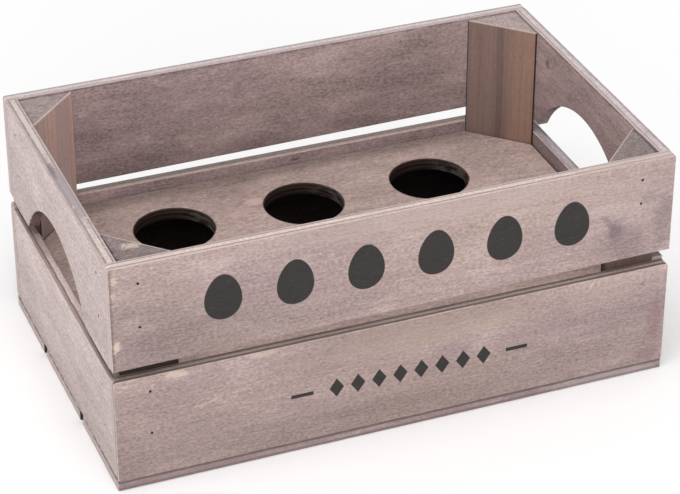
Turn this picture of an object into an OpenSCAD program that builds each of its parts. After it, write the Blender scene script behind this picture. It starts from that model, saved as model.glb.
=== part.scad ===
// Wooden egg holder: a small crate of plywood boards in two tiers, nailed to triangular
// corner posts, with a slatted base and a drop-in tray that holds six eggs by their ends.
// Millimetres, +Z up. The origin is the middle of the underside and the front faces -Y.

/* [Crate] */
// length over the front and rear boards
crate_l = 250; // [210:1:320]
// depth over the front and rear boards
crate_d = 155; // [130:1:200]
// thickness of the side boards
board_t = 5.2; // [3.6:0.1:8]
// height of the upper tier
upper_h = 48.7; // [40:0.1:70]
// height of the lower tier
lower_h = 49.2; // [42:0.1:70]
// open slot between the tiers
slot_h = 5.1; // [3:0.1:14]
// rise of the upper tier's lower edge towards the right end
foot_rise = 2.3; // [0:0.1:4]
// how far the slot lies lower at the left end, and the lower board stands higher at the right end
end_lean = 1.5; // [0:0.1:3]
// set-back of the end boards from the ends of the long boards
end_setback = 0.2; // [0:0.1:2]
// rounded corners of the long boards
corner_r = 1.4; // [0.6:0.1:2.4]
// sanded edge of the boards, slats, posts and tray
ease = 0.3; // [0.2:0.1:1]

/* [Handles] */
// width of the handle arch where it meets the slot
handle_w = 87; // [60:1:90]
// height of the left handle arch above the board's lower edge
left_handle_h = 24.7; // [16:0.1:32]
// height of the right handle arch above the board's lower edge
right_handle_h = 25.6; // [16:0.1:32]
// how far the left handle lies behind the middle of its board
left_handle_back = 4; // [0:0.1:8]

/* [Corner posts] */
// legs of the triangular post, along the two boards that it joins
post_leg = 24; // [20:0.5:32]
// blunt tip at each end of the post's slanted face
post_tip = 0.8; // [0.4:0.1:2]
// drop of the post's top below the boards' top edge
post_drop = 1; // [0:0.1:4]

/* [Egg tray] */
// thickness of the tray
tray_t = 6; // [4:0.5:9]
// drop of the tray's top below the lower tier's top edge
tray_drop = 5; // [2:0.1:12]
// room around the tray, so that it lifts out
tray_gap = 0.8; // [0.4:0.1:2]
// diameter of an egg hole
egg_hole_d = 36.2; // [30:0.1:42]
// spacing of the egg holes along a row
egg_pitch = 61.5; // [48:0.5:70]
// spacing of the two rows
row_pitch = 72; // [50:0.5:80]
// sanded rim of an egg hole
rim_ease = 0.4; // [0.2:0.1:1]

/* [Tray cleats] */
// width of the cleats that carry the tray
cleat_w = 8; // [5:0.5:9]
// height of the cleats
cleat_h = 10; // [6:0.5:16]
// room between a cleat's end and the post
cleat_gap = 1; // [0:0.1:6]

/* [Base slats] */
// thickness of the base slats
base_t = 4.8; // [3.6:0.1:8]
// width of the front slat
front_slat_w = 51; // [46:0.5:56]
// width of the middle slat
middle_slat_w = 52; // [44:0.5:58]
// gap between neighbouring slats
slat_gap = 3.5; // [1:0.5:8]
// rounded corners of the slats
slat_corner_r = 0.5; // [0.4:0.1:2]
// inset of the slats from the crate's front and rear
slat_inset = 0.5; // [0:0.1:1.5]
// inset of the slats from the crate's ends
slat_end_inset = 0; // [0:0.1:2]

/* [Brads] */
// diameter of a brad's shank
brad_d = 0.9; // [0.8:0.1:1.6]
// overhang of a brad's head past its shank
brad_lip = 0.2; // [0.1:0.05:0.5]
// thickness of a brad's head
brad_head_t = 0.5; // [0.3:0.1:1]
// length of a brad's point
brad_point = 1.2; // [0.6:0.1:2]
// depth of a brad's head below the wood
brad_sink = 0.3; // [0.1:0.1:0.8]
// reach of a brad past the board that it holds
brad_bite = 9; // [5:0.5:10]
// room around a brad in its hole
brad_fit = 0.02; // [0.01:0.01:0.1]
// first brad below the top edge of an upper long board
upper_brad_drop = 9; // [5:0.5:12]
// first brad below the top edge of a lower long board
lower_brad_drop = 7.5; // [5:0.5:12]
// how far the long boards' brads lie to the left in the upper tier, and to the right in the lower one
brad_shift = 1.5; // [0:0.1:3]
// first brad below the top edge of an end board
end_brad_drop = 11; // [5:0.5:12]
// spacing of the two brads at each end of a board
brad_pitch = 20.5; // [12:0.5:24]
// spacing of the two brads at the right end of an upper long board
right_brad_pitch = 11.5; // [6:0.5:24]

/* [Hidden] */
$fn = 96;
// past a face, so that a cut goes right through it
over = 1;
// levels, from the underside up
lower_top = base_t + lower_h;
upper_foot = lower_top + slot_h;
upper_top = upper_foot + upper_h;
tray_top = lower_top - tray_drop;
tray_foot = tray_top - tray_t;
// outer faces of the end boards, and the clear space between the boards
end_x = crate_l / 2 - end_setback;
inner_l = 2 * (end_x - board_t);
inner_d = crate_d - 2 * board_t;
brad_head_d = brad_d + 2 * brad_lip;
// places of the brads in a post, as shares of its leg
long_brad_in = 0.35 * post_leg;
end_brad_in = 0.5 * post_leg;
base_brad_near = 0.2 * post_leg;
base_brad_far = 0.5 * post_leg;
// line of the brads that hold the middle slat, inside the end boards' lower edges
middle_brad_x = inner_l / 2 + 0.35 * board_t;
// lower y edge of each base slat, from the front to the rear
front_slat_y = -crate_d / 2 + slat_inset;
middle_slat_y = front_slat_y + front_slat_w + slat_gap;
rear_slat_y = middle_slat_y + middle_slat_w + slat_gap;
rear_slat_w = crate_d / 2 - slat_inset - rear_slat_y;

// rectangle about the origin with its corners cut at 45 degrees
module eased_rect(w, h) {
    x = w / 2;
    y = h / 2;
    polygon([
        [ease - x, -y], [x - ease, -y], [x, ease - y], [x, y - ease],
        [x - ease, y], [ease - x, y], [-x, y - ease], [-x, ease - y]
    ]);
}

// rectangle about the origin with rounded corners
module rounded_rect(w, h, r) {
    square([w - 2 * r, h], center = true);
    square([w, h - 2 * r], center = true);
    for (sx = [-1, 1], sy = [-1, 1]) translate([sx * (w / 2 - r), sy * (h / 2 - r)]) circle(r);
}

// board lying flat about the origin, with corners of radius r and its edges sanded
module board(l, w, t, r) {
    intersection() {
        linear_extrude(t, center = true) rounded_rect(l, w, r);
        rotate([90, 0, 0]) linear_extrude(w, center = true) eased_rect(l, t);
        rotate([90, 0, 90]) linear_extrude(l, center = true) eased_rect(w, t);
    }
}

// the same with its lower edge rising towards the right: what a level board and a tilted one share
module rising_board(l, w, t, r, rise) {
    past = w + 4 * over;
    intersection() {
        translate([0, (w - past) / 2, 0]) board(l, past, t, r);
        translate([0, (rise - w) / 2, 0]) rotate([0, 0, atan(rise / l)]) translate([0, past / 2, 0])
            board(l + over, past, t, r);
    }
}

// brad driven along +z into a face at z = 0
module brad() {
    length = board_t - brad_sink + brad_bite;
    translate([0, 0, brad_sink]) {
        cylinder(h = brad_head_t, d = brad_head_d);
        cylinder(h = length - brad_point, d = brad_d);
        translate([0, 0, length - brad_point]) cylinder(h = brad_point, d1 = brad_d, d2 = brad_d / 4);
    }
}

// hole that the brad leaves in the wood, open at the face
module brad_hole() {
    translate([0, 0, -over]) cylinder(h = over + brad_sink + brad_head_t + brad_fit, d = brad_head_d + 2 * brad_fit);
    cylinder(h = board_t + brad_bite + brad_fit, d = brad_d + 2 * brad_fit);
}

// brads through a long board at one corner, for the tier with this top edge
module at_long_brads(sx, sy, top) {
    upper = top > lower_top;
    first = upper ? upper_brad_drop : lower_brad_drop;
    pitch = sx > 0 && upper ? right_brad_pitch : brad_pitch;
    shift = upper ? -brad_shift : brad_shift;
    for (drop = [first, first + pitch])
        translate([sx * (inner_l / 2 - long_brad_in) + shift, sy * crate_d / 2, top - drop])
            rotate([sy * 90, 0, 0]) children();
}

// brads through an end board at one corner, for the tier with this top edge
module at_end_brads(sx, sy, top) {
    for (drop = [end_brad_drop, end_brad_drop + brad_pitch])
        translate([sx * end_x, sy * (inner_d / 2 - end_brad_in), top - drop])
            rotate([0, -sx * 90, 0]) children();
}

// brads up through an outer base slat into one corner post
module at_base_brads(sx, sy) {
    for (place = [[base_brad_near, base_brad_far], [base_brad_far, base_brad_near]])
        translate([sx * (inner_l / 2 - place[0]), sy * (inner_d / 2 - place[1]), 0]) children();
}

// brads up through the middle base slat into one end board
module at_middle_brads(sx) {
    for (share = [0.25, 0.75])
        translate([sx * middle_brad_x, middle_slat_y + share * middle_slat_w, 0]) children();
}

// point of a post's outline, measured inwards from the crate's inner corner
function post_point(sx, sy, dx, dy) = [sx * (inner_l / 2 - dx), sy * (inner_d / 2 - dy)];

// triangular post in one corner, its slanted face towards the middle of the crate
module corner_post(sx, sy) {
    post_h = upper_top - post_drop - base_t;
    slant_mid = (post_leg + post_tip) / 2;
    color("#8d7469") difference() {
        translate([0, 0, base_t]) linear_extrude(post_h) polygon([
            post_point(sx, sy, 0, 0),
            post_point(sx, sy, post_leg, 0),
            post_point(sx, sy, post_leg, post_tip),
            post_point(sx, sy, post_tip, post_leg),
            post_point(sx, sy, 0, post_leg)
        ]);
        translate(concat(post_point(sx, sy, slant_mid, slant_mid), base_t + post_h))
            rotate([0, 0, -45 * sx * sy]) rotate([45, 0, 0])
                cube([2 * post_leg, ease * sqrt(2), ease * sqrt(2)], center = true);
        for (top = [lower_top, upper_top]) {
            at_long_brads(sx, sy, top) brad_hole();
            at_end_brads(sx, sy, top) brad_hole();
        }
        at_base_brads(sx, sy) brad_hole();
    }
}

// front or rear board of one tier, its lower edge rising towards the right
module long_board(sy, foot, h, rise = 0) {
    color("#a8948d") difference() {
        translate([0, sy * (crate_d - board_t) / 2, foot + h / 2]) rotate([90, 0, 0]) {
            if (rise > 0) rising_board(crate_l, h, board_t, corner_r, rise);
            else board(crate_l, h, board_t, corner_r);
        }
        for (sx = [-1, 1]) at_long_brads(sx, sy, foot + h) brad_hole();
    }
}

// end board between the front and rear boards, from its lower edge to its upper one, for the tier with this top
module end_board(sx, foot, head, top) {
    color("#b3a19b") difference() {
        translate([sx * (end_x - board_t / 2), 0, (foot + head) / 2])
            rotate([90, 0, 90]) board(inner_d, head - foot, board_t, ease);
        for (sy = [-1, 1]) at_end_brads(sx, sy, top) brad_hole();
    }
}

// arched finger opening of height h over z = 0, along x through an end board centred at x = 0, with sanded
// edges: part of a circle through its two feet and its crown
module handle_arch(h) {
    r = (handle_w * handle_w / 4 + h * h) / (2 * h);
    translate([0, 0, h - r]) rotate([0, 90, 0]) {
        cylinder(h = board_t + 2 * over, r = r, center = true);
        for (side = [0, 180])
            rotate([side, 0, 0]) translate([0, 0, board_t / 2 - ease])
                cylinder(h = 2 * ease, r1 = r, r2 = r + 2 * ease);
    }
}

// upper end board with its handle
module handle_board(sx) {
    left = sx < 0;
    foot = left ? upper_foot - end_lean : upper_foot + foot_rise;
    difference() {
        end_board(sx, foot, upper_top, upper_top);
        translate([sx * (end_x - board_t / 2), left ? left_handle_back : 0, foot])
            handle_arch(left ? left_handle_h : right_handle_h);
    }
}

// lower end board, with the middle slat's brads in its lower edge
module lower_end_board(sx) {
    difference() {
        end_board(sx, base_t, lower_top + sx * end_lean, lower_top);
        at_middle_brads(sx) brad_hole();
    }
}

// one lengthwise slat of the base, from its front edge back
module base_slat(front_y, w) {
    color("#9c8880") translate([0, front_y + w / 2, base_t / 2])
        board(crate_l - 2 * slat_end_inset, w, base_t, slat_corner_r);
}

// front or rear slat, nailed up into the two posts above it
module outer_slat(sy, front_y, w) {
    difference() {
        base_slat(front_y, w);
        for (sx = [-1, 1]) at_base_brads(sx, sy) brad_hole();
    }
}

// strip on the inner face of a lower long board, under the tray's edge
module cleat(sy) {
    length = inner_l - 2 * (post_leg + cleat_gap);
    color("#b09a88")
        translate([-length / 2, sy > 0 ? inner_d / 2 - cleat_w : -inner_d / 2, tray_foot - cleat_h])
            cube([length, cleat_w, cleat_h]);
}

// tray with its corners cut to pass the posts and a hole for each egg
module egg_tray() {
    tray_l = inner_l - 2 * tray_gap;
    tray_d = inner_d - 2 * tray_gap;
    corner_cut = post_leg + post_tip + (sqrt(2) - 2) * tray_gap;
    x = tray_l / 2;
    y = tray_d / 2;
    color("#8f7a70") translate([0, 0, tray_foot]) difference() {
        intersection() {
            translate([0, 0, tray_t / 2]) board(tray_l, tray_d, tray_t, ease);
            linear_extrude(tray_t) polygon([
                [corner_cut - x, -y], [x - corner_cut, -y], [x, corner_cut - y], [x, y - corner_cut],
                [x - corner_cut, y], [corner_cut - x, y], [-x, y - corner_cut], [-x, corner_cut - y]
            ]);
        }
        for (column = [-1, 0, 1], row = [-0.5, 0.5])
            translate([column * egg_pitch, row * row_pitch, 0]) egg_hole();
    }
}

// through hole for one egg, its rim sanded above and below
module egg_hole() {
    translate([0, 0, -over]) cylinder(h = tray_t + 2 * over, d = egg_hole_d);
    for (face = [0, 1])
        translate([0, 0, face * tray_t]) mirror([0, 0, 1 - face]) translate([0, 0, -rim_ease])
            cylinder(h = 2 * rim_ease, d1 = egg_hole_d, d2 = egg_hole_d + 4 * rim_ease);
}

module post_front_left() { corner_post(-1, -1); }
module post_front_right() { corner_post(1, -1); }
module post_rear_left() { corner_post(-1, 1); }
module post_rear_right() { corner_post(1, 1); }

module upper_front_board() { long_board(-1, upper_foot, upper_h, foot_rise); }
module upper_rear_board() { long_board(1, upper_foot, upper_h, foot_rise); }
module upper_left_board() { handle_board(-1); }
module upper_right_board() { handle_board(1); }

module lower_front_board() { long_board(-1, base_t, lower_h); }
module lower_rear_board() { long_board(1, base_t, lower_h); }
module lower_left_board() { lower_end_board(-1); }
module lower_right_board() { lower_end_board(1); }

module base_slat_front() { outer_slat(-1, front_slat_y, front_slat_w); }
module base_slat_rear() { outer_slat(1, rear_slat_y, rear_slat_w); }
module base_slat_middle() {
    difference() {
        base_slat(middle_slat_y, middle_slat_w);
        for (sx = [-1, 1]) at_middle_brads(sx) brad_hole();
    }
}

module cleat_front() { cleat(-1); }
module cleat_rear() { cleat(1); }

// brads of one long board, one end board or one base slat
module long_brads(sy, top) { color("#4a4542") for (sx = [-1, 1]) at_long_brads(sx, sy, top) brad(); }
module end_brads(sx, top) { color("#4a4542") for (sy = [-1, 1]) at_end_brads(sx, sy, top) brad(); }
module base_brads(sy) { color("#4a4542") for (sx = [-1, 1]) at_base_brads(sx, sy) brad(); }

module brads_upper_front() { long_brads(-1, upper_top); }
module brads_upper_rear() { long_brads(1, upper_top); }
module brads_upper_left() { end_brads(-1, upper_top); }
module brads_upper_right() { end_brads(1, upper_top); }
module brads_lower_front() { long_brads(-1, lower_top); }
module brads_lower_rear() { long_brads(1, lower_top); }
module brads_lower_left() { end_brads(-1, lower_top); }
module brads_lower_right() { end_brads(1, lower_top); }
module brads_base_front() { base_brads(-1); }
module brads_base_middle() { color("#4a4542") for (sx = [-1, 1]) at_middle_brads(sx) brad(); }
module brads_base_rear() { base_brads(1); }

post_front_left();
post_front_right();
post_rear_left();
post_rear_right();
upper_front_board();
upper_rear_board();
upper_left_board();
upper_right_board();
lower_front_board();
lower_rear_board();
lower_left_board();
lower_right_board();
base_slat_front();
base_slat_middle();
base_slat_rear();
cleat_front();
cleat_rear();
egg_tray();
brads_upper_front();
brads_upper_rear();
brads_upper_left();
brads_upper_right();
brads_lower_front();
brads_lower_rear();
brads_lower_left();
brads_lower_right();
brads_base_front();
brads_base_middle();
brads_base_rear();
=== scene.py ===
import math

import bpy
from mathutils import Matrix, Vector


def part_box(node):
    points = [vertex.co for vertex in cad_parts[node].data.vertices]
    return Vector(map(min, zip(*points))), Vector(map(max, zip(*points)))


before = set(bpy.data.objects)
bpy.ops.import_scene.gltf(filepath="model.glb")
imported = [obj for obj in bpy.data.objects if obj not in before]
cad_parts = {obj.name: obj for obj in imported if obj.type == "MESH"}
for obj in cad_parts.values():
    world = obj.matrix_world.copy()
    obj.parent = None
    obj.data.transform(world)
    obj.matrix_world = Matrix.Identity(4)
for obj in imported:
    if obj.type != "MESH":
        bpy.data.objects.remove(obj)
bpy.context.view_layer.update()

# Units: metres in the scene, millimetres in the patterns of the materials
MM_PER_M = 1000.0

# Camera, worked out from the crate's corners in the photograph
CAMERA_AZIMUTH = -21.5
CAMERA_ELEVATION = 31.5
CAMERA_PLACE = (-0.3557, -0.9115, 0.6459)
CAMERA_LENS_MM = 137.6
SENSOR_MM = 36.0

# Colours of the grey-washed wood, as linear RGB
ASH = (0.385, 0.288, 0.282)
TAN = (0.420, 0.316, 0.288)
MIST = (0.505, 0.392, 0.374)
OCHRE = (0.440, 0.336, 0.288)
PLUM = (0.290, 0.178, 0.190)
INNER_ASH = (0.388, 0.286, 0.284)
INNER_TAN = (0.410, 0.306, 0.296)
INNER_MIST = (0.500, 0.385, 0.376)
CHALK_GREY = (0.560, 0.465, 0.452)
CHALK_WARM = (0.570, 0.472, 0.455)
CHALK_PALE = (0.640, 0.545, 0.528)
TRAY_TAN = (0.440, 0.331, 0.300)
TRAY_BROWN = (0.372, 0.277, 0.252)
TRAY_PINK = (0.640, 0.455, 0.415)
BARE = (0.660, 0.516, 0.440)
RUST_RED = (0.400, 0.170, 0.160)
PLY_PALE = (0.550, 0.460, 0.440)
PLY_CORE = (0.590, 0.495, 0.470)
PLY_STAIN = (0.360, 0.296, 0.285)
PAINTED_SHADE_PLY = (0.150, 0.103, 0.098)
LOW_PALE = (0.530, 0.424, 0.395)
LOW_CORE = (0.540, 0.430, 0.395)
LOW_STAIN = (0.370, 0.287, 0.268)
PLY_BRIGHT = (0.645, 0.545, 0.515)
WARM_PALE = (0.590, 0.470, 0.437)
WARM_CORE = (0.690, 0.560, 0.518)
WARM_STAIN = (0.385, 0.303, 0.282)
COOL_PALE = (0.535, 0.455, 0.447)
COOL_CORE = (0.620, 0.532, 0.530)
COOL_STAIN = (0.370, 0.312, 0.307)
LEDGE_PALE = (0.600, 0.470, 0.450)
LEDGE_CORE = (0.690, 0.540, 0.525)
LEDGE_STAIN = (0.370, 0.283, 0.277)
GREY_PALE = (0.490, 0.425, 0.435)
GREY_CORE = (0.500, 0.435, 0.445)
GREY_STAIN = (0.325, 0.283, 0.290)
SLAT_PALE = (0.400, 0.310, 0.305)
SLAT_CORE = (0.420, 0.325, 0.320)
SLAT_STAIN = (0.300, 0.222, 0.222)
BLUE_STAIN = (0.365, 0.305, 0.315)
BROWN_STAIN = (0.330, 0.245, 0.225)
KNOT = (0.200, 0.125, 0.105)
GLUE_LINE = (0.150, 0.104, 0.092)
SMUDGE = (0.185, 0.142, 0.160)
PRINT = (0.028, 0.027, 0.027)
POST_BROWN = (0.310, 0.205, 0.180)
POST_GREY = (0.330, 0.232, 0.212)
POST_ORANGE = (0.430, 0.275, 0.215)
POST_GLOW = (0.500, 0.310, 0.235)
POST_STAIN_AND_SHADE = (0.073, 0.048, 0.040)
END_GRAIN = (0.380, 0.300, 0.290)
# Painted shade: near-black brown for the dark inside, gaps and seams
PAINTED_SHADE = (0.035, 0.026, 0.022)
CHAR = (0.022, 0.0125, 0.0105)
GLINT_GREY = (0.130, 0.115, 0.105)
STEEL = (0.030, 0.026, 0.024)
STEEL_RUST = (0.050, 0.028, 0.019)
CLEAT_EARLY = (0.060, 0.044, 0.036)
CLEAT_LATE = (0.042, 0.030, 0.024)
FLOOR_WHITE = (0.99, 0.99, 0.99)

# Underside of the tray, below which the inner faces are painted dark: painted shade inside the crate
TRAY_FOOT = 43.0

# Middles of the two gaps between the base slats, in y, and how far from them the walls are painted shade
SLAT_GAPS = (-24.25, 31.25)
SLAT_GAP_SHADE = (2.5, 2.1)

# Egg holes of the tray
TRAY_COLUMNS = 3
TRAY_PITCH = 61.5
TRAY_ROW = 72.0
EGG_HOLE_R = 18.1

# Soft zones of painted light and shade on the tray: axis, where each starts and is full, and how much
# lighter it is
TRAY_ZONES = (
    ("y", 64.0, 50.0, 0.12),
    ("x", -66.0, -90.0, -0.08),
    ("x", 104.0, 114.0, 0.09),
)

# Painted shade along the tray's rear edge and painted light along its front one: distances in from the edge,
# amount
TRAY_REAR = (12.0, 2.0, 0.38)
TRAY_FRONT = (16.0, 4.0, 0.7)

# Pale patches on the tray: middle in x and y, half size, amount
TRAY_PATCHES = (
    ((-20.5, 45.5), (6.0, 4.0), 0.75),
    ((-31.0, 40.0), (12.0, 7.0), 0.3),
    ((35.0, 50.0), (9.0, 4.0), 0.2),
)


class Wire:
    """A number that varies over a surface. Arithmetic on it adds math nodes to its material."""

    def __init__(self, shade, socket):
        self.shade = shade
        self.socket = socket

    def __add__(self, other):
        return self.shade.math("ADD", self, other)

    def __sub__(self, other):
        return self.shade.math("SUBTRACT", self, other)

    def __rsub__(self, other):
        return self.shade.math("SUBTRACT", other, self)

    def __mul__(self, other):
        return self.shade.math("MULTIPLY", self, other)

    def __truediv__(self, other):
        return self.shade.math("DIVIDE", self, other)

    def __abs__(self):
        return self.shade.math("ABSOLUTE", self)

    __radd__ = __add__
    __rmul__ = __mul__

    def least(self, other):
        return self.shade.math("MINIMUM", self, other)

    def most(self, other):
        return self.shade.math("MAXIMUM", self, other)

    def floor(self):
        return self.shade.math("FLOOR", self)

    def root(self):
        return self.shade.math("SQRT", self)

    def step(self, low, high):
        """Smooth rise from 0 at low to 1 at high, or a fall where low is the larger."""
        node = self.shade.add("ShaderNodeMapRange", interpolation_type="SMOOTHSTEP")
        falls = low > high
        self.shade.plug(node.inputs["Value"], self)
        self.shade.plug(node.inputs["From Min"], min(low, high))
        self.shade.plug(node.inputs["From Max"], max(low, high))
        self.shade.plug(node.inputs["To Min"], 1.0 if falls else 0.0)
        self.shade.plug(node.inputs["To Max"], 0.0 if falls else 1.0)
        return Wire(self.shade, node.outputs["Result"])


class Shade:
    """One material, with short calls for the nodes that its patterns need."""

    def __init__(self, name):
        self.material = bpy.data.materials.new(name)
        self.material.use_nodes = True
        self.tree = self.material.node_tree
        self.tree.nodes.clear()
        place = self.add("ShaderNodeTexCoord").outputs["Object"]
        self.place = self.vector("SCALE", place, scale=MM_PER_M)
        normal = self.add("ShaderNodeNewGeometry").outputs["True Normal"]
        self.axis = dict(zip("xyz", self.split(self.place)))
        self.normal = dict(zip("xyz", self.split(normal)))

    def add(self, kind, **settings):
        node = self.tree.nodes.new(kind)
        for name, value in settings.items():
            setattr(node, name, value)
        return node

    def plug(self, socket, value):
        if isinstance(value, Wire):
            value = value.socket
        if isinstance(value, bpy.types.NodeSocket):
            self.tree.links.new(value, socket)
        elif socket.type == "RGBA":
            socket.default_value = (*value, 1.0)
        else:
            socket.default_value = value

    def math(self, operation, *values):
        node = self.add("ShaderNodeMath", operation=operation)
        for socket, value in zip(node.inputs, values):
            self.plug(socket, value)
        return Wire(self, node.outputs[0])

    def vector(self, operation, *values, scale=None):
        node = self.add("ShaderNodeVectorMath", operation=operation)
        for socket, value in zip(node.inputs, values):
            self.plug(socket, value)
        if scale is not None:
            self.plug(node.inputs["Scale"], scale)
        return node.outputs[0]

    def split(self, vector):
        node = self.add("ShaderNodeSeparateXYZ")
        self.plug(node.inputs[0], vector)
        return [Wire(self, socket) for socket in node.outputs]

    def join(self, *wires):
        node = self.add("ShaderNodeCombineXYZ")
        for socket, wire in zip(node.inputs, wires):
            self.plug(socket, wire)
        return node.outputs[0]

    def noise(self, place, lengths, detail=2.0, roughness=0.5, shift=0.0):
        """Noise whose features have these lengths along the three axes of place, in millimetres."""
        per_mm = tuple(1.0 / length for length in lengths)
        moved = self.vector("MULTIPLY_ADD", place, per_mm, (shift, shift * 0.7, shift * 1.3))
        node = self.add("ShaderNodeTexNoise", noise_dimensions="3D")
        self.plug(node.inputs["Vector"], moved)
        self.plug(node.inputs["Scale"], 1.0)
        self.plug(node.inputs["Detail"], detail)
        self.plug(node.inputs["Roughness"], roughness)
        return Wire(self, node.outputs["Fac"])

    def blend(self, mask, under, over):
        """Colour that goes from under to over as the mask goes from 0 to 1."""
        node = self.add("ShaderNodeMix", data_type="RGBA", clamp_factor=True)
        for name, value in (("Factor_Float", mask), ("A_Color", under), ("B_Color", over)):
            socket = next(s for s in node.inputs if s.identifier == name)
            self.plug(socket, value)
        return next(s for s in node.outputs if s.identifier == "Result_Color")

    def scaled(self, colour, amount):
        return self.vector("SCALE", colour, scale=amount)

    def finish(self, colour, roughness, relief, relief_mm, specular=0.25, metallic=0.0):
        """Closes the material: relief is its bump, of that depth in millimetres."""
        shader = self.add("ShaderNodeBsdfPrincipled")
        bump = self.add("ShaderNodeBump")
        output = self.add("ShaderNodeOutputMaterial")
        self.plug(bump.inputs["Height"], relief)
        self.plug(bump.inputs["Strength"], 1.0)
        self.plug(bump.inputs["Distance"], relief_mm / MM_PER_M)
        self.plug(shader.inputs["Base Color"], colour)
        self.plug(shader.inputs["Roughness"], roughness)
        self.plug(shader.inputs["Specular IOR Level"], specular)
        self.plug(shader.inputs["Metallic"], metallic)
        self.plug(shader.inputs["Normal"], bump.outputs["Normal"])
        self.plug(output.inputs["Surface"], shader.outputs["BSDF"])
        return self.material


def box_mm(node):
    """Middle and half size of a CAD node along x, y and z, in millimetres."""
    low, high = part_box(node)
    middle = dict(zip("xyz", (low + high) / 2 * MM_PER_M))
    half = dict(zip("xyz", (high - low) / 2 * MM_PER_M))
    return middle, half


def dress(node, material):
    """Gives a CAD node this material alone."""
    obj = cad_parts[node]
    obj.data.materials.clear()
    obj.data.materials.append(material)


# Mottle and pores of the boards' two faces
INNER_MOTTLE = 2.8
OUTER_MOTTLE = 1.0
INNER_PORES = 0.14
OUTER_PORES = 0.06


def veneer(s, place, tones, seed, mottle=OUTER_MOTTLE, pores=OUTER_PORES):
    """Colour and relief of grey-washed veneer, with its grain along the first axis of place."""
    cool, warm, pale = tones
    bend = (s.noise(place, (55, 22, 22), detail=2, shift=seed + 1) - 0.5) * 9.0
    wavy = s.vector("ADD", place, s.join(0.0, bend, 0.0))
    zone = s.noise(place, (110, 30, 30), detail=3, shift=seed)
    cloud = s.noise(place, (34, 15, 15), detail=4, roughness=0.6, shift=seed + 5)
    figure = s.noise(wavy, (75, 3.4, 3.4), detail=3, shift=seed + 9)
    fibre = s.noise(wavy, (7.5, 0.85, 0.85), detail=3, roughness=0.6, shift=seed + 13)
    speck = s.noise(place, (1.7, 0.95, 0.95), detail=2, roughness=0.6, shift=seed + 17)
    fleck = s.noise(place, (2.6, 0.75, 0.75), detail=1, shift=seed + 21).step(0.62, 0.74)
    pore = s.noise(wavy, (5.0, 0.65, 0.65), detail=1, shift=seed + 25).step(0.58, 0.68)
    colour = s.blend(zone.step(0.38, 0.66), cool, warm)
    colour = s.blend(cloud.step(0.50, 0.74) * 0.5, colour, pale)
    coarse = (cloud - 0.5) * 0.42 * mottle + (figure - 0.5) * 0.32
    fine = (fibre - 0.5) * 0.45 + (speck - 0.5) * 1.25 + fleck * 0.18 - pore * pores
    return s.scaled(colour, 1.0 + coarse + fine), fibre * 0.5 + speck * 0.5 - pore * 0.2


def ply_edge(s, place, across, tones, stain, seed, glue_depth=0.45, glue_width=0.13, wander=0.14):
    """Colour and relief of a cut plywood edge: two veneers round a core, with a glue line on each side.
    across runs from -1 inside to 1 outside through the board; stain is the share of it that is stained."""
    pale, centre, stained = tones
    wobble = (s.noise(place, (16, 16, 60), detail=2, shift=seed + 31) - 0.5) * wander
    depth = abs(across) + wobble
    core = depth.step(0.60, 0.52)
    glue = abs(depth - 0.56).step(glue_width + 0.06, glue_width - 0.06)
    grain = s.noise(place, (1.3, 1.3, 1.0), detail=3, roughness=0.6, shift=seed + 33)
    streak = s.noise(place, (16, 16, 0.7), detail=3, shift=seed + 35)
    blot = s.noise(place, (22, 22, 5), detail=4, roughness=0.6, shift=seed + 37)
    dirty = (blot + across.step(0.50, 0.65) * 0.08 + (stain - 0.5)).step(0.36, 0.66)
    colour = s.blend(core, pale, centre)
    colour = s.blend(dirty * 0.9, colour, stained)
    colour = s.blend(glue * (streak.step(0.30, 0.70) * 0.4 + 0.6) * glue_depth, colour, GLUE_LINE)
    colour = s.scaled(colour, 1.0 + (streak - 0.5) * 0.35 + (grain - 0.5) * 0.95)
    return colour, grain * 0.6 - glue * 0.4


def patch(s, place, u, v, centre, size, angle, seed):
    """Mask of a ragged patch on a board's face; u and v are the face's two axes in millimetres."""
    turn = math.radians(angle)
    du = u - centre[0]
    dv = v - centre[1]
    along = (du * math.cos(turn) + dv * math.sin(turn)) / size[0]
    up = (dv * math.cos(turn) - du * math.sin(turn)) / size[1]
    ragged = s.noise(place, (3.2, 1.7, 1.7), detail=4, roughness=0.65, shift=seed)
    return (ragged * 1.8 - (along * along + up * up).root() * 0.85).step(0.05, 0.55)


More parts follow.
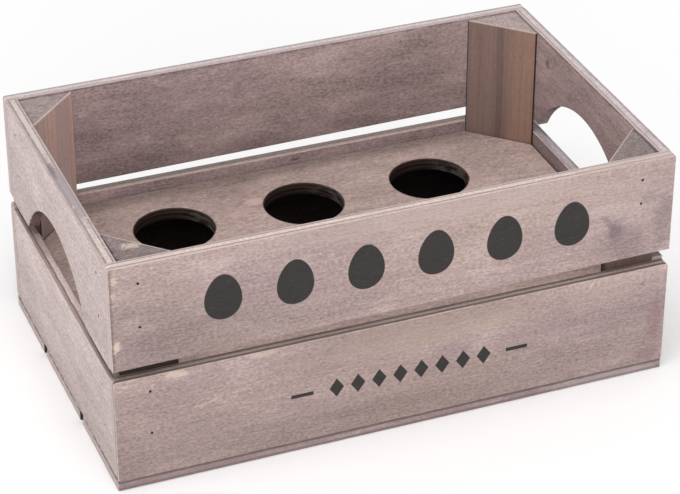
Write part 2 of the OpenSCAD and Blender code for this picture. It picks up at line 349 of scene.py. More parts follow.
class Board:
    """A plywood board: its grain runs along axes[0], its height along axes[1] and its thickness along
    axes[2]; outside is the sign of its outer face's normal."""

    def __init__(self, node, axes, outside, tones, inner_tones, seed):
        self.node = node
        self.axes = axes
        self.outside = outside
        self.tones = tones
        self.inner_tones = inner_tones
        self.seed = seed
        self.fade = (1.0, 1.0)          # painted light and shade: lightness of the outer face at its foot and its head
        self.inner_painted_light_fade = (0.9, 1.1)    # the same for the inner face
        self.edge_tones = (PLY_PALE, PLY_CORE, PLY_STAIN)
        self.stain = 0.35               # share of the cut edges that is stained
        self.edge = 1.0                 # lightness of the cut edges
        self.glue = (0.45, 0.13, 0.14)  # depth of the glue lines' colour in them, half width and wander
        self.edge_lines = []            # lines along the cut edges: middle, half width, colour, amount
        self.arris = 0.6                # wear of the sanded edges
        self.rim = 0.0                  # darkness of the outer face just below its head
        self.inner_rim = 0.0            # the same for the inner face
        self.painted_light_zones = []                # soft zones of painted light and shade: centre, size, amount
        self.inner_painted_light_zones = []          # the same for the inner face
        self.marks = []                 # ragged marks: centre, size, angle, colour, amount
        self.inner_marks = []           # the same for the inner face
        self.edge_marks = []            # the same for the cut edges, along and through the board
        self.print = None
        # height below which the inner face is painted shade, under the tray
        self.painted_shade_below = None
        self.arch_tint = None           # tint of the wall of the handle arch that is cut in the board
        self.shaded_gaps_at = []              # heights of the gaps whose walls are painted shade

    def material(self):
        s = Shade(f"{self.node}_wood")
        grain, rise, thick = self.axes
        middle, half = box_mm(self.node)
        place = s.join(*(s.axis[a] for a in self.axes))
        across = (s.axis[thick] - middle[thick]) * (self.outside / half[thick])
        facing = s.normal[thick] * self.outside
        outer = facing.step(-0.5, 0.5)
        u, v = s.axis[grain], s.axis[rise]
        worn = s.noise(place, (9, 4, 4), detail=5, roughness=0.65, shift=self.seed + 41)
        tones = [s.blend(outer, i, o) for i, o in zip(self.inner_tones, self.tones)]
        mottle = INNER_MOTTLE + outer * (OUTER_MOTTLE - INNER_MOTTLE)
        pores = INNER_PORES + outer * (OUTER_PORES - INNER_PORES)
        face, relief = veneer(s, place, tones, self.seed, mottle, pores)
        face = s.scaled(face, self.lightness(s, u, v, outer, middle[rise], half[rise]))
        face = self.scuffs(s, face, place, u, v, relief, worn, outer)
        # Painted shade: the inner face goes dark below the tray's underside
        if self.painted_shade_below is not None:
            dim = v.step(self.painted_shade_below, self.painted_shade_below - 1.0) * (1.0 - outer)
            face = s.scaled(face, 1.0 - dim * 0.75)
        if self.print:
            ink = self.print(s, u, v) * facing.step(0.5, 0.9)
            gap = s.noise(place, (4, 0.7, 0.7), detail=3, shift=self.seed + 61).step(0.42, 0.30)
            face = s.blend(ink * (0.97 - gap * 0.06), face, PRINT)
        edge, edge_relief = self.cut_edge(s, place, u, v, across, worn)
        on_face = abs(s.normal[thick]).step(0.60, 0.85)
        colour = s.blend(on_face, edge, face)
        arris = abs(abs(s.normal[thick]) - 0.71).step(0.20, 0.08)
        colour = s.blend(arris * worn.step(0.44, 0.60) * self.arris, colour, BARE)
        height = edge_relief + (relief - edge_relief) * on_face
        return s.finish(colour, 0.92 - worn * 0.22, height, relief_mm=0.07)

    def lightness(self, s, u, v, outer, middle, half):
        """Painted light and shade over the two faces: a fade from foot to head, and soft zones."""
        up = (v - middle) / (2.0 * half) + 0.5
        faces = []
        for (foot, head), painted_light_zones in ((self.fade, self.painted_light_zones), (self.inner_painted_light_fade, self.inner_painted_light_zones)):
            light = up * (head - foot) + foot
            for centre, size, amount in painted_light_zones:
                across = (u - centre[0]) / size[0]
                high = (v - centre[1]) / size[1]
                light = light + (across * across + high * high).root().step(1.0, 0.0) * amount
            faces.append(light)
        outside, inside = faces
        return inside + (outside - inside) * outer

    def scuffs(self, s, face, place, u, v, relief, worn, outer):
        """Worn rims, the dark line below each face's head, and the marks of the two faces."""
        middle, half = box_mm(self.node)
        grain, rise, _ = self.axes
        rim = (half[grain] - abs(u - middle[grain])).least(half[rise] - abs(v - middle[rise]))
        wear = (worn * 6.0 - rim * 0.8).step(3.3, 4.3)
        face = s.blend(wear * 0.5, face, s.scaled(face, 1.45))
        for side, dark in ((outer, self.rim), (1.0 - outer, self.inner_rim)):
            if dark:
                below = (middle[rise] + half[rise] - v).step(1.6, 0.8) * worn.step(0.36, 0.52) * side
                face = s.scaled(face, 1.0 - below * dark)
        for side, marks in ((outer, self.marks), (1.0 - outer, self.inner_marks)):
            for number, (centre, size, angle, colour, amount) in enumerate(marks):
                mask = patch(s, place, u, v, centre, size, angle, self.seed + 50 + number)
                tone = s.scaled(colour, 0.75 + relief * 0.5)
                face = s.blend(mask * amount * side, face, tone)
        return face

    def cut_edge(self, s, place, u, v, across, worn):
        """The board's cut edges: layered ply, with painted shade where they face down, washed over at the
        board's ends.
        """
        middle, half = box_mm(self.node)
        grain, rise, thick = self.axes
        edge, relief = ply_edge(s, place, across, self.edge_tones, self.stain, self.seed, *self.glue)
        for number, (centre, size, angle, colour, amount) in enumerate(self.edge_marks):
            mask = patch(s, place, u, s.axis[thick], centre, size, angle, self.seed + 71 + number)
            edge = s.blend(mask * amount, edge, colour)
        edge = s.scaled(edge, self.edge)
        # Painted shade: cut edges that face down go dark
        under = s.normal["z"].step(-0.05, -0.4)
        end = abs(s.normal[grain]).step(0.60, 0.85)
        edge = s.blend(under * 0.9, edge, PAINTED_SHADE_PLY)
        edge = s.blend(end * 0.8, edge, s.scaled(CHALK_GREY, 0.75 + worn * 0.4))
        wander = (s.noise(place, (7, 7, 60), detail=3, shift=self.seed + 45) - 0.5) * 0.3
        for centre, width, colour, amount in self.edge_lines:
            line = abs(across + wander - centre).step(width * 1.2, width * 0.8) * (1.0 - end * 0.4)
            edge = s.blend(line * amount, edge, colour)
        if self.arch_tint:
            head = middle[rise] + half[rise] - v
            arch = (half[grain] - abs(u - middle[grain])).step(1.0, 2.0) * head.step(1.0, 2.0)
            wall = s.scaled(s.vector("MULTIPLY", edge, self.arch_tint), 0.4 + worn * 1.2)
            edge = s.blend(arch, edge, wall)
        # Painted shade on the walls of the gaps between the base slats
        for gap in self.shaded_gaps_at:
            edge = s.blend(abs(v - gap).step(*SLAT_GAP_SHADE), edge, PAINTED_SHADE)
        return edge, relief


# Print on the front boards: plain eggs above, a rule with lozenges below
EGG_COUNT = 6
EGG_PITCH = 31.0
EGG_HALF = (8.0, 10.6)
EGG_TAPER = 0.15
LOZENGE_COUNT = 8
LOZENGE_PITCH = 9.6
LOZENGE_HALF = (3.3, 4.6)
RULE_X = 5.0
RULE_HALF = (54.0, 0.9)
RULE_GAP = 44.0


def row_of(u, count, pitch):
    """Distance from the nearest of count places in a row about u = 0, and a mask of the row's length."""
    cell = (u / pitch + count / 2).floor()
    return u - (cell + 0.5 - count / 2) * pitch, abs(u).step(count * pitch / 2 + 0.01, count * pitch / 2)


def egg_print(height):
    def ink(s, u, v):
        local, inside = row_of(u, EGG_COUNT, EGG_PITCH)
        up = (v - height) / EGG_HALF[1]
        across = local / (EGG_HALF[0] * (1.0 - up * EGG_TAPER))
        return (across * across + up * up).root().step(1.02, 0.985) * inside
    return ink


def rule_print(height):
    def ink(s, u, v):
        along = u - RULE_X
        local, inside = row_of(along, LOZENGE_COUNT, LOZENGE_PITCH)
        up = abs(v - height)
        lozenge = (abs(local) / LOZENGE_HALF[0] + up / LOZENGE_HALF[1]).step(1.03, 0.97) * inside
        reach = abs(along).step(RULE_HALF[0] + 0.1, RULE_HALF[0] - 0.1)
        clear = abs(along).step(RULE_GAP - 0.1, RULE_GAP + 0.1)
        dash = reach * clear * up.step(RULE_HALF[1] + 0.1, RULE_HALF[1] - 0.1)
        return lozenge.most(dash)
    return ink


def front_boards(upper, lower):
    """The marks, stains and print of the front boards, and their painted light and shade."""
    upper.stain = 0.15
    # Painted light and shade: fades and soft zones
    upper.fade = (0.96, 1.17)
    upper.edge_tones = (WARM_PALE, WARM_CORE, WARM_STAIN)
    upper.glue = (0.7, 0.15, 0.14)
    upper.edge_lines = [(-0.92, 0.16, CHALK_PALE, 0.9)]
    upper.edge_marks = [((112.0, -75.0), (44.0, 9.0), 0.0, MIST, 0.5)]
    upper.painted_light_zones = [
        ((-100.0, 72.0), (74.0, 36.0), -0.22),
        ((30.0, 66.0), (80.0, 12.0), 0.10),
        ((-62.0, 106.0), (26.0, 12.0), 0.14),
        ((95.0, 106.0), (36.0, 16.0), 0.08),
        ((0.0, 107.0), (70.0, 10.0), 0.11),
        ((124.0, 64.0), (16.0, 14.0), 0.25),
    ]
    upper.marks = [
        ((15.0, 102.0), (95.0, 9.0), 0.0, OCHRE, 0.35),
        ((15.0, 104.0), (95.0, 8.0), 0.0, MIST, 0.6),
        ((98.0, 90.0), (34.0, 20.0), 0.0, MIST, 0.4),
        ((-122.6, 102.3), (1.8, 2.2), 0.0, BARE, 0.8),
        ((-123.0, 95.5), (1.4, 1.8), 0.0, BARE, 0.6),
        ((-122.8, 70.8), (2.4, 3.6), 0.0, BARE, 1.0),
        ((-122.7, 75.4), (1.0, 1.0), 0.0, RUST_RED, 0.5),
        ((-124.7, 84.0), (1.3, 60.0), 0.0, GLUE_LINE, 0.5),
        ((101.0, 73.5), (13.0, 11.0), -30.0, SMUDGE, 0.32),
        ((98.6, 76.0), (4.0, 5.5), 0.0, SMUDGE, 0.6),
        ((94.8, 80.8), (6.0, 2.4), -50.0, SMUDGE, 0.45),
        ((121.0, 76.0), (6.0, 20.0), 0.0, SMUDGE, 0.4),
        ((113.7, 90.1), (5.0, 5.0), 0.0, SMUDGE, 0.3),
    ]
    upper.print = egg_print(height=84.5)
    lower.stain = 0.45
    lower.glue = (0.8, 0.27, 0.14)
    lower.edge_lines = [(0.58, 0.26, GLUE_LINE, 0.6)]
    # Painted light and shade in soft zones
    lower.painted_light_zones = [
        ((95.0, 54.0), (60.0, 20.0), 0.24),
        ((5.0, 50.0), (75.0, 11.0), -0.33),
        ((0.0, 12.0), (100.0, 18.0), -0.12),
        ((-124.0, 10.0), (16.0, 30.0), -0.1),
    ]
    lower.marks = [
        ((5.0, 46.0), (75.0, 11.0), 0.0, OCHRE, 0.6),
        ((92.0, 46.0), (26.0, 8.0), 0.0, OCHRE, 0.4),
        ((-98.4, 51.9), (6.0, 2.4), 0.0, BARE, 0.8),
        ((-61.0, 52.6), (8.0, 1.6), 0.0, BARE, 0.55),
        ((88.6, 51.4), (3.4, 0.7), 56.0, BARE, 0.8),
        ((122.8, 52.4), (2.4, 1.4), 0.0, BARE, 0.6),
        ((-88.4, 34.2), (3.6, 0.7), 4.0, BARE, 0.55),
        ((-82.6, 35.8), (3.8, 0.7), 26.0, BARE, 0.55),
        ((120.0, 27.0), (5.0, 15.0), 0.0, PLUM, 0.6),
        ((117.0, 9.5), (9.0, 5.5), 0.0, PLUM, 0.6),
    ]
    lower.print = rule_print(height=28.0)


def left_boards(upper, lower):
    """The marks and stains of the left boards, and their painted light and shade."""
    upper.stain = 0.3
    # Painted light and shade: fades and soft zones
    upper.fade = (0.90, 1.01)
    upper.edge_tones = (PLY_PALE, PLY_BRIGHT, PLY_STAIN)
    upper.glue = (0.65, 0.16, 0.28)
    upper.edge_lines = [(0.86, 0.22, BLUE_STAIN, 0.5), (-0.92, 0.13, CHALK_PALE, 0.75)]
    upper.arch_tint = (0.38, 0.31, 0.32)
    upper.rim = 0.22
    upper.edge_marks = [
        ((-12.0, -122.4), (38.0, 9.0), 0.0, BLUE_STAIN, 0.85),
        ((6.0, -123.6), (9.0, 2.2), 0.0, SMUDGE, 0.6),
        ((-55.0, -122.6), (5.0, 0.35), -27.0, CHALK_PALE, 1.0),
        ((-55.5, -120.6), (2.6, 0.4), -60.0, BARE, 0.9),
        ((-61.0, -120.4), (3.0, 0.4), -40.0, CHALK_PALE, 0.8),
        ((42.0, -122.0), (24.0, 1.6), 0.0, CHALK_PALE, 0.7),
        ((-36.0, -120.6), (3.0, 0.5), -35.0, CHALK_PALE, 0.9),
        ((-26.0, -123.4), (2.2, 0.5), 20.0, CHALK_PALE, 0.8),
        ((-66.0, -123.2), (2.8, 0.5), 50.0, BARE, 0.8),
    ]
    upper.painted_light_zones = [
        ((-74.0, 70.0), (18.0, 30.0), -0.10),
        ((74.0, 72.0), (18.0, 30.0), -0.10),
        ((-30.0, 104.0), (36.0, 9.0), 0.08),
    ]
    lower.stain = 0.25
    # Painted shade, darker at the foot
    lower.fade = (0.81, 1.01)
    lower.glue = (0.0, 0.15, 0.14)
    lower.edge_tones = (LEDGE_PALE, LEDGE_CORE, LEDGE_STAIN)
    lower.edge_marks = [
        ((44.0, -122.4), (26.0, 9.0), 0.0, BROWN_STAIN, 0.6),
        ((-56.0, -122.4), (22.0, 9.0), 0.0, LEDGE_CORE, 0.6),
    ]
    lower.edge_lines = [
        (0.62, 0.26, BROWN_STAIN, 0.6),
        (0.27, 0.17, GLUE_LINE, 0.75),
        # painted shade along the ledge's inner side
        (-0.95, 0.12, PAINTED_SHADE_PLY, 0.5),
    ]


def right_boards(upper, lower):
    """The marks and stains of the right boards, seen from inside, and their painted light and shade."""
    upper.stain = 0.3
    # Painted light and shade on the inner faces
    upper.inner_painted_light_fade = (0.74, 1.10)
    upper.inner_painted_light_zones = [((-40.0, 85.0), (32.0, 26.0), -0.06)]
    upper.inner_marks = [((36.5, 97.0), (2.4, 2.6), 0.0, KNOT, 0.85)]
    upper.edge_tones = (COOL_PALE, COOL_CORE, COOL_STAIN)
    upper.glue = (0.55, 0.14, 0.14)
    upper.edge_lines = [(-0.88, 0.16, CHALK_PALE, 0.4)]
    upper.arch_tint = (0.60, 0.58, 0.58)
    upper.arris = 0.2
    upper.inner_rim = 0.35
    lower.edge_tones = (GREY_PALE, GREY_CORE, GREY_STAIN)
    # Painted shade on the inner face
    lower.inner_painted_light_fade = (0.56, 0.69)


def rear_boards(upper, lower):
    """The marks and stains of the rear boards, seen from inside, and their painted light and shade."""
    # Painted light and shade on the inner faces
    upper.inner_painted_light_fade = (0.75, 1.12)
    upper.inner_painted_light_zones = [((75.0, 85.0), (55.0, 32.0), -0.10)]
    upper.edge_tones = (COOL_PALE, COOL_CORE, COOL_STAIN)
    upper.edge_lines = [(0.86, 0.20, GREY_STAIN, 0.5)]
    upper.inner_marks = [
        ((59.2, 83.6), (0.9, 0.7), 0.0, KNOT, 0.9),
        ((61.7, 102.0), (0.8, 0.6), 0.0, KNOT, 0.8),
        ((-47.1, 76.3), (0.8, 0.9), 0.0, KNOT, 0.9),
    ]
    upper.arris = 0.2
    upper.inner_rim = 0.35
    lower.glue = (0.2, 0.15, 0.14)
    lower.edge_lines = [(0.50, 0.18, LOW_PALE, 0.7), (-0.05, 0.20, GLUE_LINE, 0.5)]
    # Painted shade where the tray meets the lower rear board
    lower.inner_marks = [((9.0, 50.7), (3.0, 0.6), 0.0, PAINTED_SHADE, 0.5)]


def boards():
    """The plywood boards of the two tiers and of the base, with the marks that the photograph shows."""
    wash = (ASH, TAN, MIST)
    chalk = (CHALK_GREY, CHALK_WARM, CHALK_PALE)
    inner = (INNER_ASH, INNER_TAN, INNER_MIST)
    # The slats' top faces, inside the crate under the tray, are painted shade
    dark = (PAINTED_SHADE, PAINTED_SHADE, PAINTED_SHADE)
    sides = (
        ("front", "xzy", -1, wash),
        ("rear", "xzy", 1, wash),
        ("left", "yzx", -1, chalk),
        ("right", "yzx", 1, chalk),
    )
    made = {}
    # Each tier's fade is painted light and shade, darker at the foot
    for tier_number, (tier, fade) in enumerate((("upper", (0.94, 1.06)), ("lower", (0.84, 1.04)))):
        for side_number, (side, axes, outside, tones) in enumerate(sides):
            node = f"{tier}_{side}_board"
            seed = 7.3 * (1 + side_number + 4 * tier_number)
            made[node] = Board(node, axes, outside, tones, inner, seed)
            made[node].fade = fade
            made[node].painted_shade_below = TRAY_FOOT
            if tier == "lower":
                made[node].edge_tones = (LOW_PALE, LOW_CORE, LOW_STAIN)
    for number, name in enumerate(("front", "middle", "rear")):
        node = f"base_slat_{name}"
        made[node] = Board(node, "xyz", -1, wash, dark, 91.0 + 6.1 * number)
        made[node].stain = 0.6
        made[node].edge_tones = (SLAT_PALE, SLAT_CORE, SLAT_STAIN)
        # Painted shade: a dark line under the boards and one along the floor
        made[node].edge_lines = [(-0.78, 0.28, PAINTED_SHADE_PLY, 0.75), (0.75, 0.40, PAINTED_SHADE_PLY, 0.35)]
        made[node].shaded_gaps_at = SLAT_GAPS
    front_boards(made["upper_front_board"], made["lower_front_board"])
    left_boards(made["upper_left_board"], made["lower_left_board"])
    right_boards(made["upper_right_board"], made["lower_right_board"])
    rear_boards(made["upper_rear_board"], made["lower_rear_board"])
    made["base_slat_front"].edge_marks = [
        ((100.0, 2.4), (34.0, 6.0), 0.0, GREY_PALE, 0.42),
        ((-80.0, 2.4), (40.0, 6.0), 0.0, SLAT_STAIN, 0.5),
    ]
    return made


for node, board in boards().items():
    dress(node, board.material())


# Each post: lightness of its slanted face, shares of orange and of grey in it, lightness of its top and
# darkness of the painted shade in the seam round that
POST_TONES = {
    "post_front_left": (1.1, 0.4, 0.0, 0.63, 0.85),
    "post_front_right": (1.0, 0.5, 0.0, 0.68, 0.5),
    "post_rear_left": (1.66, 0.0, 0.2, 0.92, 0.3),
    "post_rear_right": (0.68, 0.5, 0.0, 1.12, 0.3),
}

# Bands of colour along a post's slanted face: middle from -1 to 1 over its width, half width, colour, amount
POST_BANDS = {
    "post_rear_left": (
        (-0.20, 0.20, POST_ORANGE, 0.45),
        (0.40, 0.30, END_GRAIN, 0.1),
        (0.90, 0.12, POST_ORANGE, 0.5),
    ),
    "post_rear_right": (
        (-0.70, 0.45, POST_GLOW, 0.9),
        (0.42, 0.13, POST_ORANGE, 0.5),
        (0.02, 0.09, POST_STAIN_AND_SHADE, 0.25),
    ),
}

# Lightness of the front posts' hidden faces, which show in the slot
POST_JOINTS = {"post_front_left": 0.78, "post_front_right": 2.0}

# Heights between which the rear left post's stain pales to grey, towards its foot
POST_PALES = (80.0, 68.0)

# Where painted shade darkens the rear left post, under the handle arch: heights, and the same measure as for
# the bands
POST_SHADE = ((80.0, 72.0), (0.25, -0.05))

# Width of the blunt edges beside a post's slanted face
POST_TIP = 0.8

# Bare patch on the top of the front left post: its middle, in x and y, and its half size
BARE_TOP = ((-110.5, -61.5), (5.0, 3.0))


def post_material(node, seed):
    """Solid post: striped long grain on its slanted face, dark stain and painted shade on its hidden faces,
    scratched ends with a pale arris along the slanted face and painted shade in the seam along the boards."""
    slant_tone, orange, grey, end_tone, seam_tone = POST_TONES[node]
    s = Shade(f"{node}_wood")
    middle, half = box_mm(node)
    side_x = -1.0 if node.endswith("left") else 1.0
    side_y = -1.0 if "front" in node else 1.0
    in_x = (middle["x"] * side_x + half["x"]) - s.axis["x"] * side_x
    in_y = (middle["y"] * side_y + half["y"]) - s.axis["y"] * side_y
    to_slant = (2.0 * half["x"] + POST_TIP - in_x - in_y) * math.sqrt(0.5)
    place = s.join(s.axis["z"], (in_x - in_y) * math.sqrt(0.5), to_slant)
    stripe = s.noise(place, (400, 8.0, 8.0), detail=1, shift=seed)
    fine = s.noise(place, (70, 1.5, 1.5), detail=4, roughness=0.6, shift=seed + 3)
    fibre = s.noise(place, (6, 0.7, 0.7), detail=3, shift=seed + 6)
    blotch = s.noise(place, (40, 16, 16), detail=3, shift=seed + 9)
    speck = s.noise(place, (1.1, 1.1, 1.1), detail=3, roughness=0.65, shift=seed + 12)
    slant = s.blend((blotch + grey).step(0.35, 0.65), POST_BROWN, POST_GREY)
    if node == "post_rear_left":
        slant = s.blend(s.axis["z"].step(*POST_PALES) * 0.4, slant, END_GRAIN)
    slant = s.blend(stripe.step(0.45, 0.62) * orange, slant, POST_ORANGE)
    over = (in_x - in_y) / (2.0 * half["x"])
    for centre, width, colour, amount in POST_BANDS.get(node, ()):
        slant = s.blend(abs(over - centre).step(width * 1.4, width * 0.6) * amount, slant, colour)
    grain = (fine - 0.5) * 0.6 + (fibre - 0.5) * 0.3 + (speck - 0.5) * 0.4
    slant = s.scaled(slant, slant_tone * (1.0 + grain))
    # Painted shade on the rear left post, under the handle arch
    if node == "post_rear_left":
        shaded = s.axis["z"].step(*POST_SHADE[0]) * over.step(*POST_SHADE[1])
        slant = s.blend(shaded * 0.45, slant, POST_STAIN_AND_SHADE)
    # Hidden faces, seen in the joints and the slot: dark stain and painted shade, with a painted shadow line
    # next to the slanted face
    joint = s.scaled(POST_STAIN_AND_SHADE, (0.35 + fine * 0.7 + speck * 0.6) * POST_JOINTS.get(node, 1.0))
    joint = s.blend(to_slant.step(2.5, 0.5), joint, PAINTED_SHADE)
    swirl = s.noise(place, (30, 9, 9), detail=2, shift=seed + 14) * 14.0
    curved = s.vector("ADD", place, s.join(0.0, swirl, 0.0))
    scratch = s.noise(curved, (30, 0.6, 5), detail=3, shift=seed + 15).step(0.57, 0.70)
    mottle = s.noise(place, (20, 5, 3), detail=4, roughness=0.65, shift=seed + 18)
    end = s.scaled(END_GRAIN, end_tone * (0.95 + (speck - 0.5) * 1.3 + (mottle - 0.5) * 1.0))
    end = s.blend(scratch * 0.35, end, CHALK_PALE)
    if node == "post_front_left":
        bare = patch(s, place, s.axis["x"], s.axis["y"], *BARE_TOP, 0.0, seed + 21)
        end = s.blend(bare * 0.75, end, BARE)
    # Painted shade in the seam along the boards
    seam = in_x.least(in_y) + (mottle - 0.5) * 2.4
    end = s.blend(seam.step(1.3, 0.5) * seam_tone, end, PAINTED_SHADE)
    end = s.blend((to_slant + (mottle - 0.5) * 0.8).step(1.0, 0.4) * 0.7, end, CHALK_PALE)
    on_end = abs(s.normal["z"]).step(0.60, 0.85)
    square_on = abs(s.normal["x"]).most(abs(s.normal["y"])).step(0.85, 0.95)
    colour = s.blend(square_on, slant, joint)
    colour = s.blend(on_end, colour, end)
    return s.finish(colour, 0.9 - fine * 0.2, fine * 0.5 + speck * 0.4, relief_mm=0.12)


for number, node in enumerate(POST_TONES):
    dress(node, post_material(node, 17.0 + 8.7 * number))


def tray_material(node):
    """Plywood tray, tanner than the boards, with charred walls in its egg holes, and painted light and shade
    on its faces and hole walls.
    """
    s = Shade(f"{node}_wood")
    middle, half = box_mm(node)
    place = s.join(s.axis["x"], s.axis["y"], s.axis["z"])
    face, relief = veneer(s, place, (TRAY_BROWN, TRAY_TAN, TRAY_TAN), 143.0, mottle=1.3)
    rear_shade_wobble = s.noise(place, (16, 6, 6), detail=3, shift=145.0) * 5.0 - 2.5
    rear_edge = middle["y"] + half["y"]
    front_edge = middle["y"] - half["y"]
    # Painted shade along the rear edge and painted light along the front edge
    rear = (s.axis["y"] + rear_shade_wobble).step(rear_edge - TRAY_REAR[0], rear_edge - TRAY_REAR[1])
    front = s.axis["y"].step(front_edge + TRAY_FRONT[0], front_edge + TRAY_FRONT[1])
    lightness = 1.0 + front * TRAY_FRONT[2] - rear * TRAY_REAR[2]
    for axis, start, full, amount in TRAY_ZONES:
        lightness = lightness + s.axis[axis].step(start, full) * amount
    face = s.scaled(face, lightness)
    for number, (centre, size, amount) in enumerate(TRAY_PATCHES):
        mask = patch(s, place, s.axis["x"], s.axis["y"], centre, size, 0.0, 155.0 + number)
        face = s.blend(mask * amount, face, TRAY_PINK)
    # Painted shade: the tray's underside goes darker
    under = s.normal["z"].step(0.5, -0.5)
    face = s.scaled(face, 1.0 - under * 0.6)
    across = (s.axis["z"] - middle["z"]) / half["z"]
    edge, edge_relief = ply_edge(s, place, across, (PLY_PALE, PLY_CORE, PLY_STAIN), 0.5, 147.0)
    local_x, inside = row_of(s.axis["x"], TRAY_COLUMNS, TRAY_PITCH)
    local_y = abs(s.axis["y"]) - TRAY_ROW / 2
    radius = (local_x * local_x + local_y * local_y).root() + (1.0 - inside) * 99.0
    soot = s.noise(place, (6, 6, 2), detail=3, shift=151.0)
    ply_line = abs(abs(across) - 0.36).step(0.16, 0.05)
    # The charred wall gets lighter towards its top: painted light
    wall = s.scaled(CHAR, 0.4 + soot * 1.2 + ply_line * 2.2 + across.step(0.2, 1.0) * 1.8)
    # Painted highlight on the walls that face the light from the left
    wall_glint = s.normal["x"].step(-0.3, -0.9) * soot.step(0.40, 0.58)
    wall = s.blend(wall_glint * 0.8, wall, GLINT_GREY)
    in_hole = radius.step(EGG_HOLE_R + 1.6, EGG_HOLE_R + 0.7)
    scorch = (radius + soot * 1.2).step(EGG_HOLE_R + 1.7, EGG_HOLE_R + 0.6)
    on_face = abs(s.normal["z"]).step(0.80, 0.92)
    colour = s.blend(scorch * 0.45, face, CHAR)
    colour = s.blend(on_face, s.blend(in_hole, edge, wall), colour)
    height = edge_relief + (relief - edge_relief) * on_face
    return s.finish(colour, 0.88 - soot * 0.1, height, relief_mm=0.10)


dress("egg_tray", tray_material("egg_tray"))


def cleat_material(node, seed):
    """Planed softwood strip, stained dark."""
    s = Shade(f"{node}_wood")
    place = s.join(s.axis["x"], s.axis["y"], s.axis["z"])
    ring = s.noise(place, (180, 2.4, 2.4), detail=2, shift=seed)
    fibre = s.noise(place, (10, 0.5, 0.5), detail=3, shift=seed + 4)
    colour = s.blend(ring.step(0.4, 0.62), CLEAT_EARLY, CLEAT_LATE)
    colour = s.scaled(colour, 1.0 + (fibre - 0.5) * 0.4)
    return s.finish(colour, 0.8 - fibre * 0.15, fibre, relief_mm=0.1)


for number, node in enumerate(("cleat_front", "cleat_rear")):
    dress(node, cleat_material(node, 161.0 + 7.0 * number))


# Brads that are filled over: right of this x, in front of this y and below this z
FILLED_X = 100.0
FILLED_Y = -77.0
FILLED_Z = 55.0

# Brads that are washed over: left of this x, less so towards the front
WASHED_X = -124.0


def brad_material():
    """Dull steel brads, darkened by stain; the pair at the right of the lower front board is filled over and
    those of the left boards are washed over."""
    s = Shade("brad_steel_dark")
    rust = s.noise(s.place, (0.5, 0.5, 0.5), detail=3, shift=3.0)
    filled = s.axis["x"].step(FILLED_X - 1.0, FILLED_X) * s.axis["y"].step(FILLED_Y + 1.0, FILLED_Y)
    filled = filled * s.axis["z"].step(FILLED_Z + 1.0, FILLED_Z)
    colour = s.blend(rust.step(0.45, 0.62), STEEL, STEEL_RUST)
    colour = s.blend(filled, colour, ASH)
    washed = s.axis["x"].step(WASHED_X + 1.0, WASHED_X) * (s.axis["y"].step(-20.0, 20.0) * 0.25 + 0.5)
    colour = s.blend(washed, colour, CHALK_GREY)
    metal = (1.0 - filled.most(washed)) * 0.5
    return s.finish(colour, 0.55 + rust * 0.35, rust, relief_mm=0.03, specular=0.3, metallic=metal)


steel = brad_material()
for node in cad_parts:
    if node.startswith("brads_"):
        dress(node, steel)


# Floor: its size, and how far it lies below the slats so that the two don't share a face
FLOOR_SIZE = 8.0
FLOOR_DROP = 0.0001

# Strength of the even surround, and the soft lights: place, size and level
SURROUND = 0.50
LIGHTS = {
    "overhead": ((-0.90, -1.30, 5.00), (3.6, 3.6), 0.56),
    "front": ((-0.60, -4.00, 1.50), (3.6, 1.4), 0.20),
    "left": ((-3.60, -0.50, 1.00), (2.8, 1.2), 0.18),
}
LIGHTS_AIM = (0.0, 0.0, 0.05)


def floor():
    """Pale studio floor."""
    bpy.ops.mesh.primitive_plane_add(size=FLOOR_SIZE, location=(0, 0, -FLOOR_DROP))
    plane = bpy.context.object
    plane.name = "floor"
    s = Shade("floor_paper")
    tooth = s.noise(s.place, (3, 3, 3), detail=2)
    plane.data.materials.append(s.finish(FLOOR_WHITE, 0.9, tooth, relief_mm=0.02, specular=0.1))


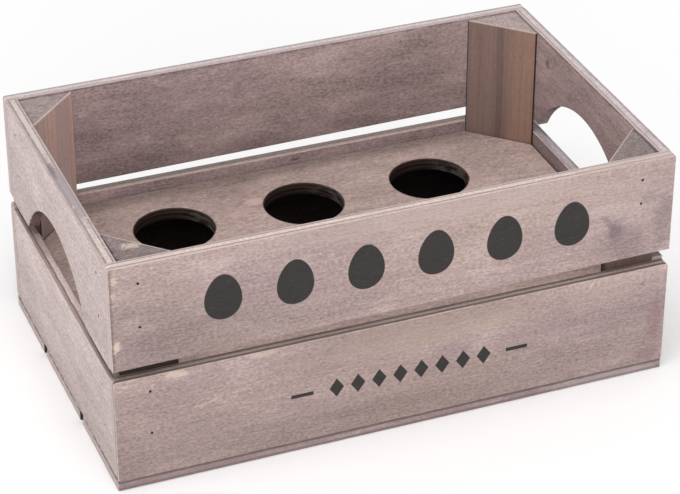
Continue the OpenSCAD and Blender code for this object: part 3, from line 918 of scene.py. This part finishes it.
def area_light(name, place, size, level):
    """Soft light aimed at the middle of the crate; a white face turned to it renders at that level."""
    aim = Vector(LIGHTS_AIM) - Vector(place)
    data = bpy.data.lights.new(name, "AREA")
    data.shape = "RECTANGLE"
    data.size, data.size_y = size
    data.energy = level * math.pi ** 2 * aim.length_squared
    lamp = bpy.data.objects.new(name, data)
    lamp.location = place
    lamp.rotation_euler = aim.to_track_quat("-Z", "Y").to_euler()
    bpy.context.scene.collection.objects.link(lamp)


def world_light(strength):
    """Even white surround: plain light on the object, white where the camera sees it."""
    world = bpy.data.worlds.new("studio")
    bpy.context.scene.world = world
    world.use_nodes = True
    tree = world.node_tree
    tree.nodes.clear()
    path = tree.nodes.new("ShaderNodeLightPath")
    lit = tree.nodes.new("ShaderNodeBackground")
    lit.inputs["Strength"].default_value = strength
    seen = tree.nodes.new("ShaderNodeBackground")
    seen.inputs["Strength"].default_value = 1.0
    mix = tree.nodes.new("ShaderNodeMixShader")
    output = tree.nodes.new("ShaderNodeOutputWorld")
    for background in (lit, seen):
        background.inputs["Color"].default_value = (1, 1, 1, 1)
    tree.links.new(path.outputs["Is Camera Ray"], mix.inputs["Fac"])
    tree.links.new(lit.outputs["Background"], mix.inputs[1])
    tree.links.new(seen.outputs["Background"], mix.inputs[2])
    tree.links.new(mix.outputs["Shader"], output.inputs["Surface"])


def camera():
    """Camera at the photograph's viewing angle."""
    a, e = math.radians(CAMERA_AZIMUTH), math.radians(CAMERA_ELEVATION)
    back = Vector((math.sin(a) * math.cos(e), -math.cos(a) * math.cos(e), math.sin(e)))
    right = Vector((0, 0, 1)).cross(back).normalized()
    up = back.cross(right)
    data = bpy.data.cameras.new("camera")
    data.sensor_width = SENSOR_MM
    data.lens = CAMERA_LENS_MM
    data.clip_start = 0.01
    obj = bpy.data.objects.new("camera", data)
    turn = Matrix((right, up, back)).transposed().to_4x4()
    obj.matrix_world = Matrix.Translation(CAMERA_PLACE) @ turn
    bpy.context.scene.collection.objects.link(obj)
    bpy.context.scene.camera = obj


floor()
world_light(SURROUND)
for name, (place, size, level) in LIGHTS.items():
    area_light(name, place, size, level)
camera()
bpy.context.scene.view_settings.view_transform = "Standard"
